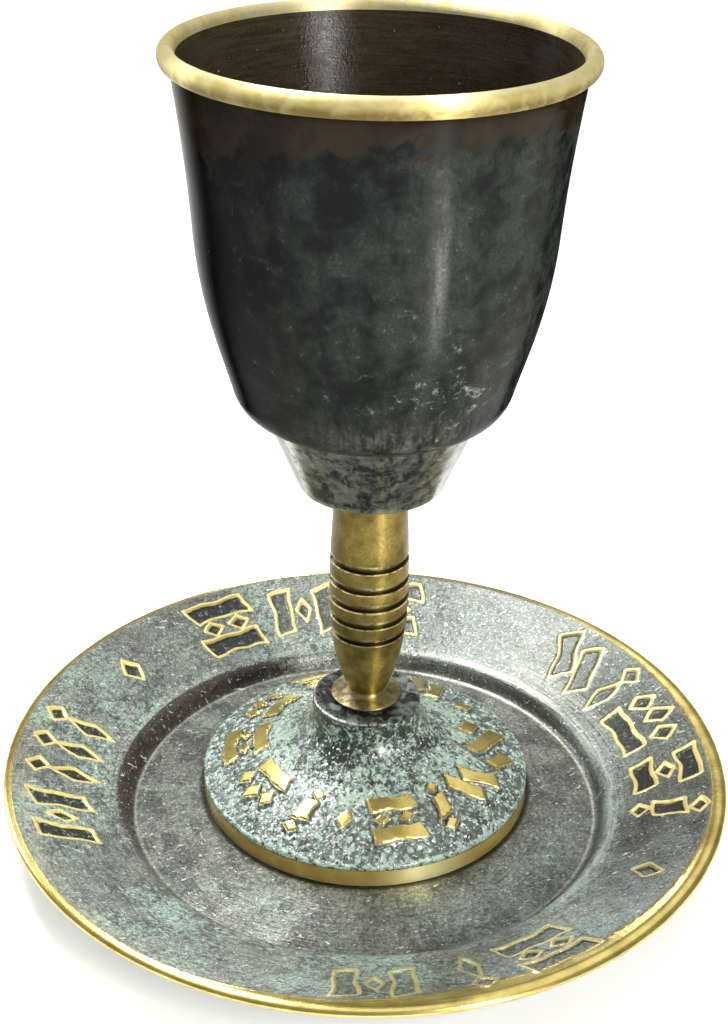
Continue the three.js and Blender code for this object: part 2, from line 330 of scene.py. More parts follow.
WAVER_SHIFTS = (2.4, 1.3)  # and how that moves on from one stroke to the next, in radians


def outline_distance(u, v, corners):
    """Signed distance of places (u, v) from a closed outline, negative inside."""
    nearest = np.full(len(u), FAR)
    inside = np.zeros(len(u), bool)
    for (ax, ay), (bx, by) in zip(corners, corners[1:] + corners[:1]):
        ex, ey = bx - ax, by - ay
        along = np.clip(((u - ax) * ex + (v - ay) * ey) / (ex * ex + ey * ey), 0, 1)
        nearest = np.minimum(nearest, np.hypot(u - ax - along * ex, v - ay - along * ey))
        crossing = u < ex * (v - ay) / (ey or 1.0) + ax
        inside ^= ((ay > v) != (by > v)) & crossing
    return np.where(inside, -nearest, nearest)


def row_distance(row, row_radius, scale):
    """distance(bearings, radius): how far each place is from a row's nearest stroke, and its wear."""
    outlines = []
    for group, bearing, *wear in row:
        for corners in STROKE_GROUPS[group]:
            outline = [(across * scale, out * scale) for across, out in corners]
            reach_across = max(abs(across) for across, _ in outline) + STROKE_MARGIN
            outlines.append((math.radians(bearing), outline, reach_across, wear[0] if wear else 0.0))
    shift_across, shift_out = WAVER_SHIFTS

    def distance(bearings, radius):
        nearest = np.full(len(bearings), FAR)
        worn = np.zeros(len(bearings))
        out = radius - row_radius
        for index, (middle, outline, reach_across, wear) in enumerate(outlines):
            across = ((bearings - middle + math.pi) % (2 * math.pi) - math.pi) * row_radius
            near = np.abs(across) < reach_across
            u = across[near] + WAVER * math.sin(WAVER_RATE * out + shift_across * index)
            v = out + WAVER * np.sin(WAVER_RATE * across[near] + shift_out * index)
            found = outline_distance(u, v, outline)
            worn[near] = np.where(found < nearest[near], wear, worn[near])
            nearest[near] = np.minimum(nearest[near], found)
        return nearest, worn

    return distance


# ---- Material graphs ----


class Graph:
    """A material's nodes, made by short calls that return sockets."""

    def __init__(self, name):
        self.material = bpy.data.materials.new(name)
        self.material.use_nodes = True
        self.tree = self.material.node_tree
        self.tree.nodes.clear()
        self.shader = self.node("BsdfPrincipled")
        self.node("OutputMaterial", self.shader.outputs[0])
        self.place = self.vector("SCALE", self.node("TexCoord").outputs["Object"], scale=1 / MM)

    def feed(self, socket, value):
        if isinstance(value, bpy.types.NodeSocket):
            self.tree.links.new(value, socket)
        elif socket.type == "RGBA":
            socket.default_value = (*value, 1)
        else:
            socket.default_value = value

    def set(self, **sockets):
        """Sets or links the shader's sockets: base_color=... is Base Color."""
        for name, value in sockets.items():
            title = name.replace("_", " ").title().replace("Ior", "IOR")
            self.feed(self.shader.inputs[title], value)

    def node(self, kind, *values, **settings):
        """A new node with its settings, and values or links for its first inputs."""
        node = self.tree.nodes.new("ShaderNode" + kind)
        for name, setting in settings.items():
            setattr(node, name, setting)
        for socket, value in zip(node.inputs, values):
            if value is not None:
                self.feed(socket, value)
        return node

    def math(self, operation, a, b=0.0, c=0.0, clamp=False):
        return self.node("Math", a, b, c, operation=operation, use_clamp=clamp).outputs[0]

    def vector(self, operation, a, b=None, scale=None):
        node = self.node("VectorMath", a, b, None, scale, operation=operation)
        return node.outputs["Value" if operation in ("LENGTH", "DOT_PRODUCT") else "Vector"]

    def join(self, x, y, z):
        return self.node("CombineXYZ", x, y, z).outputs[0]

    def value(self, name):
        """A value kept on the mesh."""
        return self.node("Attribute", attribute_name=name).outputs["Fac"]

    def noise(self, size, detail=3.0, rough=0.55, warp=0.0, at=None):
        """Noise with features about size mm across, from 0 to 1."""
        node = self.node("TexNoise", self.place if at is None else at, None, 1 / size, detail, rough)
        node.inputs["Distortion"].default_value = warp
        return node.outputs["Fac"]

    def ramp(self, value, low, high, start=0.0, end=1.0):
        """Smooth step from start at low to end at high."""
        node = self.node("MapRange", value, low, high, start, end, interpolation_type="SMOOTHSTEP")
        return node.outputs[0]

    def near(self, value, middle, far, close):
        """0 where a value is far from a middle one, and 1 where it is as close as close."""
        return self.ramp(self.math("ABSOLUTE", self.math("SUBTRACT", value, middle)), far, close)

    def linear(self, value, slope, start):
        """start, and slope more where the value is 1."""
        return self.math("MULTIPLY_ADD", value, slope, start)

    def less(self, value, share=1.0):
        """1, less a share of a value."""
        return self.linear(value, -share, 1.0)

    def centred(self, value, half):
        """A value from 0 to 1, moved to lie from -half to half."""
        return self.linear(value, 2 * half, -half)

    def folded(self, operation, first, *others):
        for other in others:
            first = self.math(operation, first, other)
        return first

    def total(self, *values):
        return self.folded("ADD", *values)

    def product(self, *values):
        return self.folded("MULTIPLY", *values)

    def most(self, *values):
        return self.folded("MAXIMUM", *values)

    def blend(self, share, a, b):
        """A number between a and b."""
        return self.node("Mix", share, None, a, b).outputs[0]

    def mix(self, share, a, b):
        """A colour between a and b."""
        node = self.node("Mix", share, data_type="RGBA")
        self.feed(node.inputs[6], a)
        self.feed(node.inputs[7], b)
        return node.outputs[2]

    def scaled(self, colour, factor):
        """A colour made darker or lighter by a factor."""
        return self.vector("SCALE", colour, scale=factor)

    def bump(self, height, depth, strength=1.0):
        """A normal bent by a height from 0 to 1 that stands for depth mm."""
        node = self.node("Bump", strength, depth * MM)
        self.feed(node.inputs["Height"], height)
        return node.outputs[0]

    def turned_grain(self, share):
        """Stretches highlights across fine turning marks that run round the piece's own axis."""
        tangent = self.node("Tangent", direction_type="RADIAL", axis="Z").outputs[0]
        self.set(anisotropic=share, anisotropic_rotation=0.25, tangent=tangent)

    def from_axis(self, y):
        """Distance from the upright axis at y, and its two parts."""
        x0, y0, _ = self.node("SeparateXYZ", self.place).outputs
        dy = self.math("SUBTRACT", y0, y)
        return self.math("SQRT", self.linear(x0, x0, self.product(dy, dy))), x0, dy

    def around(self, y, streak, fine):
        """Coordinates whose noise runs in streaks round the axis at y, finer across them."""
        z0 = self.node("SeparateXYZ", self.place).outputs[2]
        radius, x0, dy = self.from_axis(y)
        safe = self.most(radius, 0.5)
        return self.join(
            self.product(self.math("DIVIDE", x0, safe), streak),
            self.product(self.math("DIVIDE", dy, safe), streak),
            self.product(self.total(radius, z0), fine),
        )

    def hairs(self, across, along):
        """Noise drawn out into upright hairs: the larger a number, the finer it is that way."""
        return self.noise(1.0, 4, 0.6, at=self.vector("MULTIPLY", self.place, (across, across, along)))


# ---- Finishes ----
# Colours are linear red, green and blue. Two in one name are the ends that a noise runs between.


BRASS = ((0.80, 0.65, 0.22), (0.55, 0.42, 0.12))
TARNISH = (0.20, 0.16, 0.07)
# Near black: the saucer strokes' dark fill, and painted shade round the foot's raised strokes.
DARK_FILL_AND_SHADE = (0.016, 0.018, 0.016)
PALE_METAL = (0.66, 0.66, 0.55)
SCRATCH_TURNS = (0.5, 2.2)  # radians
SCRATCH_ALONG, SCRATCH_ACROSS = 0.5, 2.1


def brass_tone(g, size=6.0):
    """Polished brass, a little duller in patches."""
    return g.mix(g.ramp(g.noise(size, 4), 0.38, 0.72), *BRASS)


def scratches(g, size, threshold):
    """Short fine lines, scattered in two directions."""
    found = 0.0
    for turn in SCRATCH_TURNS:
        c, s = math.cos(turn), math.sin(turn)
        along = g.vector("DOT_PRODUCT", g.place, (SCRATCH_ALONG * c, SCRATCH_ALONG * s, 0.0))
        across = g.vector("DOT_PRODUCT", g.place, (-SCRATCH_ACROSS * s, SCRATCH_ACROSS * c, 0.0))
        lines = g.noise(size, 2, 0.5, at=g.join(along, across, turn))
        found = g.most(found, g.ramp(lines, threshold, threshold + 0.05))
    return found


SLATE = ((0.095, 0.102, 0.088), (0.235, 0.253, 0.22))
SLATE_MARK = (0.36, 0.385, 0.34)
BRUSHED_SLATE = ((0.085, 0.092, 0.082), (0.185, 0.196, 0.177))
GREEN_GROWTH = (0.29, 0.42, 0.35)
PIT = (0.038, 0.044, 0.038)
DUSK = ((0.036, 0.034, 0.027), (0.19, 0.192, 0.165))
RUST = ((0.007, 0.004, 0.002), (0.046, 0.028, 0.013))
PAINTED_HIGHLIGHT_SLATE = (0.62, 0.65, 0.58)
COVE_SHADE_COLOUR = (0.018, 0.018, 0.014)
CREAM = (0.46, 0.44, 0.33)
FLECK = (0.70, 0.75, 0.67)
CREASE_WEAR_AND_HIGHLIGHT = (0.66, 0.66, 0.56)
FOOT_SHADOW = (0.008, 0.008, 0.006)
STROKE_OUTLINE = (0.80, 0.66, 0.25)


def saucer_ground(g, n):
    """The turned grey with its green growth and dark pits: its colour, and where it is green and dark."""
    brushed = g.value("brushed")
    grey = g.mix(g.ramp(n.cloud, 0.36, 0.64), *SLATE)
    grey = g.mix(g.product(g.ramp(n.marks, 0.44, 0.66), 0.45), grey, SLATE_MARK)
    grey = g.mix(g.product(brushed, 0.7), grey, g.mix(g.ramp(n.marks, 0.32, 0.68), *BRUSHED_SLATE))
    bare = g.product(g.value("well"), g.less(g.value("verdant")))
    clear = g.linear(brushed, -0.65, g.less(bare, 0.5))
    green_at = g.total(g.product(n.sponge, 0.75), g.product(g.noise(13.0, 3, 0.5), 0.35))
    green = g.product(g.ramp(green_at, 0.55, 0.63), clear)
    colour = g.mix(g.product(green, 0.8), grey, GREEN_GROWTH)
    dark_at = g.total(g.product(n.sponge, 0.6), g.product(n.cloud, 0.4))
    dark = g.product(g.ramp(dark_at, 0.49, 0.40), g.less(brushed, 0.55))
    colour = g.mix(g.product(dark, 0.8), colour, PIT)
    dusk = g.mix(g.ramp(g.noise(5.0, 7, 0.72), 0.40, 0.60), *DUSK)
    return g.mix(g.most(g.product(bare, 0.6), g.value("dim")), colour, dusk), green, dark


def saucer_wear(g, n, colour, bright):
    """The colour with painted highlight bands, broken by turning marks, in the cove and on the face at the
    back right, painted shade low in the cove, a painted sheen near the edge at the front left, and flecks and
    scratches.
    """
    # Painted highlight: light bands round the top of the cove at the right and back, and on the face at the
    # back right.
    colour = g.mix(g.product(bright, g.ramp(n.marks, 0.30, 0.60)), colour, PAINTED_HIGHLIGHT_SLATE)
    # Painted shade: a dark ring low on the cove's wall.
    colour = g.mix(g.product(g.value("seam"), g.ramp(n.crust, 0.75, 0.55)), colour, COVE_SHADE_COLOUR)
    outer = g.product(g.value("brushed"), g.less(g.value("well")))
    colour = g.scaled(colour, g.less(outer, 0.52))
    colour = g.scaled(colour, g.less(g.value("dim"), 0.42))
    # Painted sheen: a cream reflection near the edge at the front left.
    sheen = g.product(g.value("sheen"), g.ramp(g.noise(2.4, 4, 0.6), 0.34, 0.60))
    colour = g.mix(g.product(sheen, 0.6), colour, CREAM)
    flecks = g.most(g.ramp(g.noise(0.6, 3, 0.6), 0.64, 0.70), scratches(g, 1.1, 0.69))
    return g.mix(g.product(flecks, 0.8), colour, FLECK)


def saucer_strokes(g, n):
    """How much of the strokes' dark fill and of their brass outline is left."""
    stroke_at, worn = g.value("stroke"), g.value("worn")
    dark_fill = g.product(g.ramp(stroke_at, -0.15, -0.4), g.linear(worn, -1.0, 0.95))
    edge = g.math("ABSOLUTE", g.total(stroke_at, g.centred(g.noise(1.3, 3), 0.12)))
    outline = g.product(g.ramp(edge, 0.42, 0.28), g.less(worn, 0.55))
    return g.product(dark_fill, g.ramp(n.sponge, 0.66, 0.54)), outline


def saucer_finish():
    """Grey patina with green, dark and brown growth, rubbed to brass at its edge."""
    g = Graph("grey_patina")
    n = SimpleNamespace(
        marks=g.noise(1.0, 3, at=g.around(0.0, 5.0, 2.6)),
        cloud=g.noise(4.5, 8, 0.75),
        sponge=g.noise(1.0, 6, 0.8, warp=0.4),
        crust=g.noise(0.85, 2, 0.5, warp=0.3),
        crumb=g.noise(0.42, 3, 0.6),
    )
    bright = g.value("bright")
    colour, green, dark = saucer_ground(g, n)
    colour = g.scaled(colour, g.ramp(n.crumb, 0.30, 0.70, 0.55, 1.5))
    brown = g.ramp(g.total(g.value("brown"), g.centred(n.sponge, 0.75)), 0.36, 0.54)
    colour = g.mix(g.product(brown, 0.95), colour, g.mix(g.ramp(n.sponge, 0.40, 0.62), *RUST))
    colour = saucer_wear(g, n, colour, bright)
    # A pale rubbed line round the well's edge, with a painted highlight that is strongest at the right.
    crease = g.product(g.value("crease"), g.ramp(n.sponge, 0.36, 0.52))
    colour = g.mix(crease, colour, CREASE_WEAR_AND_HIGHLIGHT)
    # Painted shadow: a dark ring on the well just round the foot's edge.
    foot_contact_shadow = g.ramp(g.from_axis(CUP_Y)[0], FOOT_RADIUS + 1.2, FOOT_RADIUS + 0.4)
    colour = g.mix(g.product(foot_contact_shadow, g.value("well"), 0.9), colour, FOOT_SHADOW)
    dark_fill, outline = saucer_strokes(g, n)
    colour = g.mix(dark_fill, colour, DARK_FILL_AND_SHADE)
    polish_at = g.total(g.value("polish"), g.centred(g.noise(1.4, 4), 0.18))
    polish = g.ramp(polish_at, 0.40, 0.66)
    colour = g.mix(g.product(g.ramp(polish_at, 0.10, 0.45), 0.6), colour, TARNISH)
    colour = g.mix(polish, colour, brass_tone(g))
    colour = g.mix(outline, colour, STROKE_OUTLINE)

    dull = g.most(green, dark, brown)
    rough = g.blend(dull, g.linear(n.marks, 0.26, 0.20), 0.45)
    rough = g.blend(brown, rough, 0.65)
    metal = g.blend(g.most(bright, crease), g.blend(dull, 0.5, 0.08), 0.9)
    metal = g.blend(outline, g.blend(polish, metal, 1.0), 0.55)
    g.set(base_color=colour, roughness=g.blend(polish, rough, 0.24), metallic=metal)
    g.turned_grain(0.5)
    height = g.linear(n.marks, 0.4, g.total(g.product(n.crust, 0.6), g.product(n.crumb, 0.25)))
    smoothed = g.less(g.most(polish, g.product(g.value("brushed"), 0.6)), 0.85)
    g.set(normal=g.bump(g.product(height, smoothed), 0.20, 0.9))
    return g.material


VERDIGRIS = ((0.20, 0.29, 0.24), (0.44, 0.58, 0.48))
VERDIGRIS_DARK = (0.018, 0.024, 0.021)
CREVICE = (0.030, 0.042, 0.037)
MARBLE = ((0.010, 0.011, 0.010), (0.17, 0.205, 0.19))
GLINT = (0.86, 0.90, 0.86)
BAND_BRASS = (0.34, 0.215, 0.040)
BAND_HIGHLIGHT_BRASS = (1.0, 0.90, 0.46)
EDGE_HIGHLIGHT_METAL = (0.90, 0.92, 0.88)


def foot_patina(g, fine, crust):
    """Green patina with a dark marbled collar, painted glints by the strokes and painted shade round their
    roots, and where it is dark.
    """
    neck, stroke_at = g.value("neck"), g.value("stroke")
    soot_at = g.total(g.product(g.noise(3.0, 8, 0.7), 0.45), g.product(fine, 0.55))
    dark = g.ramp(g.linear(neck, -0.060, soot_at), 0.52, 0.42)
    colour = g.mix(dark, g.mix(g.ramp(fine, 0.38, 0.62), *VERDIGRIS), VERDIGRIS_DARK)
    crevice = g.most(g.ramp(g.value("boss"), 0.35, 0.0), g.ramp(crust, 0.42, 0.32))
    colour = g.mix(g.product(crevice, 0.8), colour, CREVICE)
    # The marbling is paler at the right: painted light.
    marble = g.linear(g.value("lit"), 0.12, g.noise(2.2, 5, 0.62, warp=0.8))
    colour = g.mix(g.value("collar"), colour, g.mix(g.ramp(marble, 0.48, 0.70), *MARBLE))
    # Painted glints: white specks, thickest just beside the strokes.
    halo = g.near(stroke_at, 0.55, 0.30, 0.10)
    glint_at = g.linear(halo, 0.08, g.noise(0.55, 2, 0.5, warp=0.3))
    colour = g.mix(g.product(g.ramp(glint_at, 0.615, 0.665), g.value("glint")), colour, GLINT)
    # Painted shade: a dark line round the foot of each raised stroke.
    root = g.near(stroke_at, 0.25, 0.36, 0.08)
    return g.mix(g.product(root, 0.55), colour, DARK_FILL_AND_SHADE), dark


def foot_finish():
    """Green patina over the dome, and bare brass on its strokes and its band."""
    g = Graph("verdigris")
    fine = g.noise(0.8, 6, 0.78, warp=0.5)
    crust = g.noise(0.8, 2, 0.5, warp=0.6)
    collar, band = g.value("collar"), g.value("band")
    colour, dark = foot_patina(g, fine, crust)
    stroke = g.ramp(g.total(g.value("stroke"), g.centred(g.noise(1.0, 3), 0.1)), 0.08, -0.05)
    polish = g.most(stroke, g.value("polish"))
    brass = g.mix(g.product(band, 0.55), brass_tone(g, 4.0), BAND_BRASS)
    # Painted highlight on the band at the front right.
    brass = g.mix(g.product(g.value("sunny"), 0.95), brass, BAND_HIGHLIGHT_BRASS)
    colour = g.mix(polish, colour, brass)
    # Painted highlight: a bright line on the front left of the collar's rounded edge.
    worn = g.product(g.value("worn"), g.ramp(fine, 0.42, 0.50))
    colour = g.mix(worn, colour, EDGE_HIGHLIGHT_METAL)

    rough = g.blend(dark, g.linear(fine, 0.3, 0.22), 0.16)
    metal = g.blend(g.most(polish, worn), 0.1, g.less(band, 0.45))
    g.set(base_color=colour, roughness=g.blend(polish, rough, 0.27), metallic=metal)
    coat = g.less(g.most(collar, g.product(g.value("neck"), 0.6)), 0.8)
    g.set(coat_weight=g.blend(polish, coat, 0.0), coat_roughness=0.08)
    g.set(specular_ior_level=g.blend(collar, 0.5, 0.2))
    bare = g.product(g.less(polish), g.less(collar, 0.85))
    relief = g.product(g.total(g.product(crust, 0.7), g.product(g.noise(0.4, 2, 0.5), 0.3)), bare)
    g.set(normal=g.bump(relief, 0.50), coat_normal=g.bump(relief, 0.16))
    return g.material


SATIN_BRASS = ((0.345, 0.262, 0.074), (0.155, 0.114, 0.031))
STEM_TARNISH_AND_SHADE = (0.062, 0.047, 0.014)
FLANGE_TONE = ((0.20, 0.165, 0.075), (0.46, 0.42, 0.28))
LIP_HIGHLIGHT_BRASS = (0.88, 0.76, 0.42)
GROOVE_SHADE = (0.070, 0.054, 0.018)


def stem_finish():
    """Satin brass, tarnished and darkened by painted shade in places, paler on its flange, with painted shade
    in its grooves and painted highlights on their lips.
    """
    g = Graph("satin_brass")
    marks = g.noise(1.0, 3, at=g.around(CUP_Y, 3.0, 5.0))
    speckle = g.noise(0.5, 3, 0.65)
    flange = g.value("flange")
    colour = g.mix(g.ramp(g.noise(4.0, 6, 0.65), 0.38, 0.66), *SATIN_BRASS)
    # Tarnish with painted shade: darker at the left, high up at the right and on the flange's right.
    colour = g.mix(g.product(g.value("tarnish"), 0.85), colour, STEM_TARNISH_AND_SHADE)
    colour = g.scaled(colour, g.ramp(speckle, 0.3, 0.7, 0.69, 1.15))
    # Lighter towards the bottom of the stem.
    colour = g.scaled(colour, g.linear(g.value("fresh"), 0.5, 1.0))
    pale = g.mix(g.ramp(g.noise(1.2, 4, 0.65), 0.38, 0.62), *FLANGE_TONE)
    colour = g.mix(g.product(flange, 0.9), colour, pale)
    # Painted highlights on the grooves' lips and on the edge below each groove.
    rubbed = g.product(g.value("lip"), g.ramp(g.noise(1.6, 4, 0.6), 0.38, 0.56))
    colour = g.mix(rubbed, colour, LIP_HIGHLIGHT_BRASS)
    # Painted shade in the grooves, and a painted dark reflection up their lips at the right.
    colour = g.mix(g.value("groove"), colour, GROOVE_SHADE)
    rough = g.blend(flange, g.linear(marks, 0.16, 0.28), 0.5)
    g.set(base_color=colour, metallic=1.0, roughness=rough)
    g.turned_grain(0.7)
    g.set(normal=g.bump(g.total(g.product(marks, 0.6), g.product(speckle, 0.4)), 0.04, 0.6))
    return g.material


BLACK = ((0.001, 0.0022, 0.0019), (0.024, 0.029, 0.026))
MOTTLED_BLACK = ((0.008, 0.009, 0.008), (0.025, 0.028, 0.025))
SHADED_BLACK = (0.003, 0.0036, 0.003)
SMUDGE = (0.070, 0.074, 0.064)
HEM = (0.105, 0.105, 0.085)
STREAK_HIGHLIGHT = (0.150, 0.160, 0.140)
PALE_SPOT = (0.21, 0.24, 0.21)
SMEAR = ((0.038, 0.041, 0.036), (0.22, 0.225, 0.20))
SMEAR_PATCH = (0.36, 0.34, 0.26)
OUTSIDE_BROWN = ((0.011, 0.008, 0.004), (0.024, 0.017, 0.009))
INSIDE_BROWN = ((0.022, 0.015, 0.007), (0.041, 0.029, 0.014))
DUST = (0.55, 0.55, 0.50)
SHOULDER_CREASE = (0.42, 0.45, 0.40)
RIM_BRASS = ((0.88, 0.77, 0.36), (0.76, 0.62, 0.22))
RIM_UNDER_SHADE = (0.26, 0.19, 0.055)
RIM_CREST_HIGHLIGHT = (0.95, 0.92, 0.72)


def bowl_black(g, n):
    """The outside's black: lighter in front with a painted reflection, smudged, streaked and flecked, with a
    painted highlight streak at the front right, and plain and near black where painted shade lies at the left
    and under the rim.
    """
    # A painted reflection lightens the black in front.
    haze_at = g.total(g.product(n.cloud, 0.35), g.product(n.patch, 0.35))
    haze_at = g.total(haze_at, g.linear(g.value("haze"), 0.05, g.product(g.hairs(0.22, 0.06), 0.30)))
    colour = g.mix(g.ramp(haze_at, 0.43, 0.64), *BLACK)
    mottled = g.mix(g.ramp(n.patch, 0.36, 0.62), *MOTTLED_BLACK)
    colour = g.mix(g.product(n.matte, 0.75), colour, mottled)
    # Painted shade: near black at the left and just under the rim.
    colour = g.mix(g.product(n.shade, 0.85), colour, SHADED_BLACK)
    smudge = g.ramp(g.linear(n.grain, 0.45, g.product(n.patch, 0.55)), 0.56, 0.66)
    colour = g.mix(g.product(smudge, n.glossy, 0.55), colour, SMUDGE)
    hairs = g.hairs(0.9, 0.12)
    hem = g.product(g.value("hem"), g.ramp(hairs, 0.38, 0.62))
    colour = g.mix(g.product(hem, 0.7), colour, HEM)
    # Painted highlight: a narrow upright streak at the front right.
    streak = g.product(g.value("streak"), g.ramp(hairs, 0.30, 0.55))
    colour = g.mix(g.product(streak, 0.75), colour, STREAK_HIGHLIGHT)
    pale_at = g.total(g.product(n.grain, 0.65), g.product(n.patch, 0.35))
    pale = g.ramp(g.linear(g.value("pale"), 0.085, pale_at), 0.61, 0.70)
    colour = g.mix(g.product(pale, 0.9), colour, PALE_SPOT)
    return g.scaled(colour, g.ramp(n.speck, 0.3, 0.7, 0.7, 1.35))


def bowl_smear(g, n):
    """The lower cup's smeared grey metal, with painted highlight stripes up its sides and round its bottom
    edge.
    """
    smear = g.product(g.noise(3.2, 2, 0.4, warp=1.2), 0.5)
    smear = g.linear(g.noise(1.3, 4, 0.65, warp=0.8), 0.5, smear)
    colour = g.mix(g.ramp(smear, 0.40, 0.62), *SMEAR)
    colour = g.mix(g.product(g.ramp(n.patch, 0.58, 0.74), 0.6), colour, SMEAR_PATCH)
    # Painted highlights: pale stripes at the left and right and round the bottom edge.
    strip = g.product(g.value("strip"), g.ramp(g.noise(1.4, 4, 0.6), 0.36, 0.54))
    return g.mix(g.product(strip, 0.62), colour, PALE_METAL)


def bowl_brown(g, n):
    """The brown under the rim, and the dusty brown inside."""
    outside = g.mix(g.ramp(n.cloud, 0.4, 0.6), *OUTSIDE_BROWN)
    # Painted shade darkens the brown just under the rim.
    outside = g.scaled(outside, g.less(n.shade, 0.35))
    inside = g.mix(g.ramp(n.marks, 0.35, 0.65), *INSIDE_BROWN)
    inside = g.scaled(inside, g.ramp(n.speck, 0.3, 0.7, 0.7, 1.3))
    dust = g.product(n.inner, g.ramp(g.noise(0.7, 3, 0.6), 0.72, 0.76))
    return g.mix(n.inner, outside, g.mix(dust, inside, DUST))


def bowl_rim(g, n):
    """The rim's brass: greyer at the back, with painted shade underneath and a painted highlight along its
    crest.
    """
    colour = g.mix(g.ramp(n.patch, 0.40, 0.66), *RIM_BRASS)
    colour = g.mix(g.product(g.value("back"), g.ramp(n.grain, 0.42, 0.62)), colour, PALE_METAL)
    # Painted shade on the roll's underside.
    under = g.product(g.value("under"), g.ramp(n.patch, 0.3, 0.6, 0.6, 1.0))
    colour = g.mix(under, colour, RIM_UNDER_SHADE)
    # Painted highlight along the crest.
    return g.mix(g.value("crest"), colour, RIM_CREST_HIGHLIGHT)


def bowl_finish():
    """Glossy black patina, brown by the rim and inside, a smeared grey lower cup and a brass rim."""
    g = Graph("dark_patina")
    n = SimpleNamespace(
        cloud=g.noise(9.0, 6, 0.6, warp=0.4),
        patch=g.noise(3.4, 5, 0.62, warp=0.7),
        grain=g.noise(1.3, 6, 0.76, warp=0.5),
        speck=g.noise(0.45, 3, 0.6),
        marks=g.noise(1.0, 3, at=g.around(CUP_Y, 4.0, 3.0)),
        inner=g.value("inner"),
        shade=g.value("shade"),
        matte=g.value("matte"),
    )
    n.glossy = g.math("SUBTRACT", g.less(n.shade), n.matte, clamp=True)
    lower, lip, brown_at = g.value("lower"), g.value("polish"), g.value("brown")
    colour = g.mix(lower, bowl_black(g, n), bowl_smear(g, n))
    brown = g.ramp(g.total(brown_at, g.centred(n.patch, 0.75)), 0.42, 0.58)
    colour = g.mix(brown, colour, bowl_brown(g, n))
    crease = g.product(g.value("crease"), g.ramp(n.grain, 0.44, 0.56))
    colour = g.mix(crease, colour, SHOULDER_CREASE)
    colour = g.mix(lip, colour, bowl_rim(g, n))

    rough = g.linear(n.grain, 0.20, g.blend(lower, 0.20, 0.10))
    rough = g.blend(g.value("rubbed"), rough, 0.38)
    rough = g.blend(n.inner, rough, g.ramp(n.patch, 0.35, 0.65, 0.50, 0.26))
    g.set(base_color=colour, roughness=g.blend(lip, rough, 0.58))
    g.set(metallic=g.blend(lip, g.product(lower, 0.85), 0.75))
    gloss = g.product(g.blend(n.inner, 0.185, 0.72), n.glossy, g.less(brown_at, 0.3))
    g.set(specular_ior_level=g.blend(lip, gloss, 0.5))
    g.turned_grain(0.95)
    rise = g.total(g.product(n.marks, 0.5), g.product(n.speck, g.blend(n.inner, 0.3, 1.2)))
    g.set(normal=g.bump(rise, 0.05, 0.8))
    return g.material


# ---- Saucer ----


SAUCER_COLUMNS = 240
STROKE_COLUMNS = 1440
STROKES_START = 46.0
ROLL_UNDER, ROLL_BARE, ROLL_SIDE, ROLL_OVER = -100, -20, -10, 115  # angles round the edge's roll


def edge_roll(start, end, steps):
    """The saucer's rounded edge, from one angle to another."""
    centre = SAUCER_RADIUS - EDGE_ROLL
    return elliptic_roll(centre, EDGE_ROLL_HEIGHT, EDGE_ROLL, EDGE_ROLL_SHARE, start, end, steps)


def saucer_under():
    """The underside, from the middle to the edge."""
    edge = edge_roll(ROLL_UNDER, ROLL_UNDER, 1)[0]
    return [
        *level(0, 0, 20, 40.5),
        *bezier((WELL_RADIUS, 0.0), (42.6, 0.3), (43.4, 2.3), (45.0, 3.1), 8),
        *bezier((46.0, 3.4), (50.0, 4.7), (57.5, 8.3), edge, 8)[:-1],
    ]


def saucer_slope():
    """The sloping rim, from the edge in to the cove."""
    edge = edge_roll(ROLL_OVER, ROLL_OVER, 1)[0]
    return spaced(bezier(COVE_TOP, (49.0, 5.7), (57.0, 9.4), edge, 60)[::-1], 0.3)[1:]


def saucer_cove():
    """The short wall, from the sloping rim in to the well."""
    rise = bezier((WELL_RADIUS, SHEET), (41.9, 1.1), (42.2, 1.6), COVE_MIDDLE, 8)
    turn = bezier(COVE_MIDDLE, (43.1, 3.3), (43.4, 3.7), COVE_TOP, 8)
    return [*rise, *turn[1:]][::-1][1:]


def saucer_zones(bearing, radius):
    """Where it is rubbed to brass, browned, brushed or dim, where its well is, and where highlights, a sheen
    and shade are painted on.
    """
    width = 1.3 + 3.2 * zone(bearing, -62, 60) + 1.2 * zone(bearing, 10, 60)
    return {
        "polish": smooth(radius, SAUCER_RADIUS - 1.5 * width - 0.3, SAUCER_RADIUS - 0.5 * width),
        "brown": smooth(radius, 41.3, 41.7) * smooth(radius, 45.7, 43.6) * zone(bearing, 155, 80),
        # painted sheen near the edge at the front left
        "sheen": bell(radius, 60.3, 1.5) * zone(bearing, -150, 62),
        # painted shade low on the cove's wall
        "seam": 0.65 * bell(radius, 42.3, 0.55) * zone(bearing, 5, 120),
        # painted highlight round the top of the cove, and a fainter one on the face at the back right
        "bright": np.maximum(
            0.85 * bell(radius, 44.3, 0.9) * zone(bearing, 15, 110),
            0.45 * bell(radius, 46.5, 2.5) * zone(bearing, 26, 42),
        ),
        # pale rubbed line round the well's edge, with a painted highlight strongest at the right
        "crease": bell(radius, WELL_RADIUS, 0.22) * (0.35 + 0.65 * zone(bearing, 15, 90)),
        "brushed": zone(bearing, 50, 75),
        "dim": np.maximum(0.85 * zone(bearing, -20, 34), 0.3 * zone(bearing, 140, 40))
        * smooth(radius, 45.0, 48.0),
        "verdant": np.maximum(zone(bearing, -42, 50), zone(bearing, -112, 35)) * bell(radius, 33.5, 5.0),
        "well": smooth(radius, 43.5, 41.0),
    }


